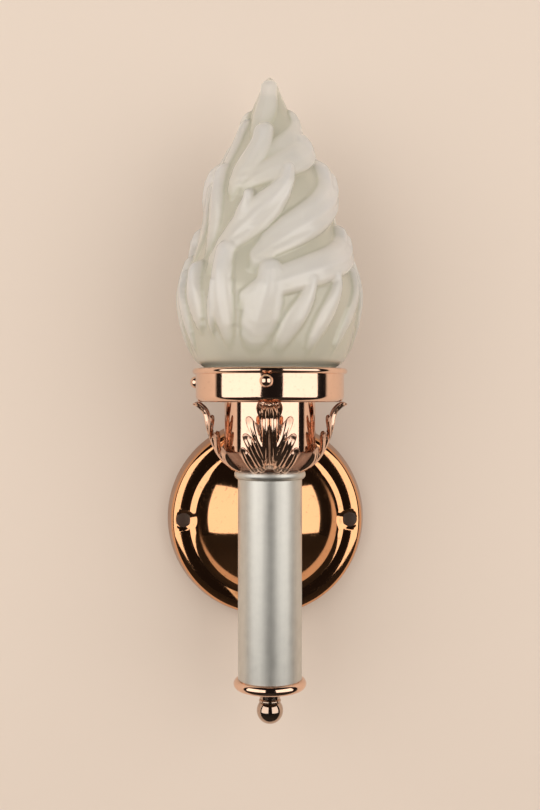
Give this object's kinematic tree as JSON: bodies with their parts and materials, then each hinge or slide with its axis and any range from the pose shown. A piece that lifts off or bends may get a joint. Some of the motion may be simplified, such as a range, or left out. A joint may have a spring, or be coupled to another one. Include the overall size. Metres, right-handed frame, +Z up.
{
  "type": "torch wall sconce",
  "caption": "Wall light shaped like a torch: domed polished canopy, satin stem, leaf cup, shade holder ring and a frosted flame glass held by thumb screws.",
  "frame": {"origin": "centre of the canopy's back edge, on the wall plane", "axes": "+Z up along the torch, -Y out of the wall, +X to the right seen from the room"},
  "size_m": [0.127, 0.1162, 0.3842],
  "materials": {
    "copper_plate": "mirror-polished rose copper plate under clear lacquer",
    "satin_silver": "satin silver lacquer",
    "zinc_steel": "zinc-plated threaded steel",
    "brass_hardware": "plain machined brass",
    "porcelain": "glazed white porcelain",
    "nickel_cap": "drawn lamp cap",
    "bulb_glass": "soft white lamp glass",
    "frosted_glass": "satin etched glass, warm white"
  },
  "bodies": {
    "sconce": {"canopy": "copper_plate", "canopy_washer": "zinc_steel", "canopy_lock_washer": "zinc_steel", "canopy_nut": "brass_hardware", "arm_nipple": "zinc_steel", "arm_saddle": "copper_plate", "torch_tube": "satin_silver", "center_hub": "brass_hardware", "lower_nipple": "zinc_steel", "upper_nipple": "zinc_steel", "bottom_cap": "copper_plate", "finial_neck": "copper_plate", "ball_finial": "copper_plate", "leaf_cup": "copper_plate", "cup_lock_nut": "brass_hardware", "cup_washer": "zinc_steel", "socket_cup": "copper_plate", "socket_lock_nut": "brass_hardware", "shade_holder": "copper_plate", "socket_cap": "brass_hardware", "socket_body": "porcelain", "socket_shell": "brass_hardware", "socket_contact": "brass_hardware", "terminal_screw_left": "brass_hardware", "terminal_screw_right": "brass_hardware"},
    "bulb": {"bulb_contact": "zinc_steel", "bulb_cap": "nickel_cap", "bulb_glass": "bulb_glass"},
    "shade": {"shade_neck": "frosted_glass", "flame_shade": "frosted_glass"},
    "screw_front": {"thumb_screw_front": "copper_plate"},
    "screw_left": {"thumb_screw_left": "copper_plate"},
    "screw_right": {"thumb_screw_right": "copper_plate"}
  },
  "joints": [
    {"name": "shade_lift", "type": "slide", "parent": "sconce", "child": "shade", "axis": [0, 0, 1], "range_m": [0, 0.1]},
    {"name": "bulb_lift", "type": "slide", "parent": "sconce", "child": "bulb", "axis": [0, 0, 1], "range_m": [0, 0.026]},
    {"name": "thumb_screw_front", "type": "slide", "parent": "sconce", "child": "screw_front", "axis": [-0.0872, -0.9962, 0], "range_m": [-0.001, 0.0015]},
    {"name": "thumb_screw_left", "type": "slide", "parent": "sconce", "child": "screw_left", "axis": [-0.8829, 0.4695, 0], "range_m": [-0.001, 0.0015]},
    {"name": "thumb_screw_right", "type": "slide", "parent": "sconce", "child": "screw_right", "axis": [0.788, 0.6157, 0], "range_m": [-0.001, 0.0015]}
  ]
}
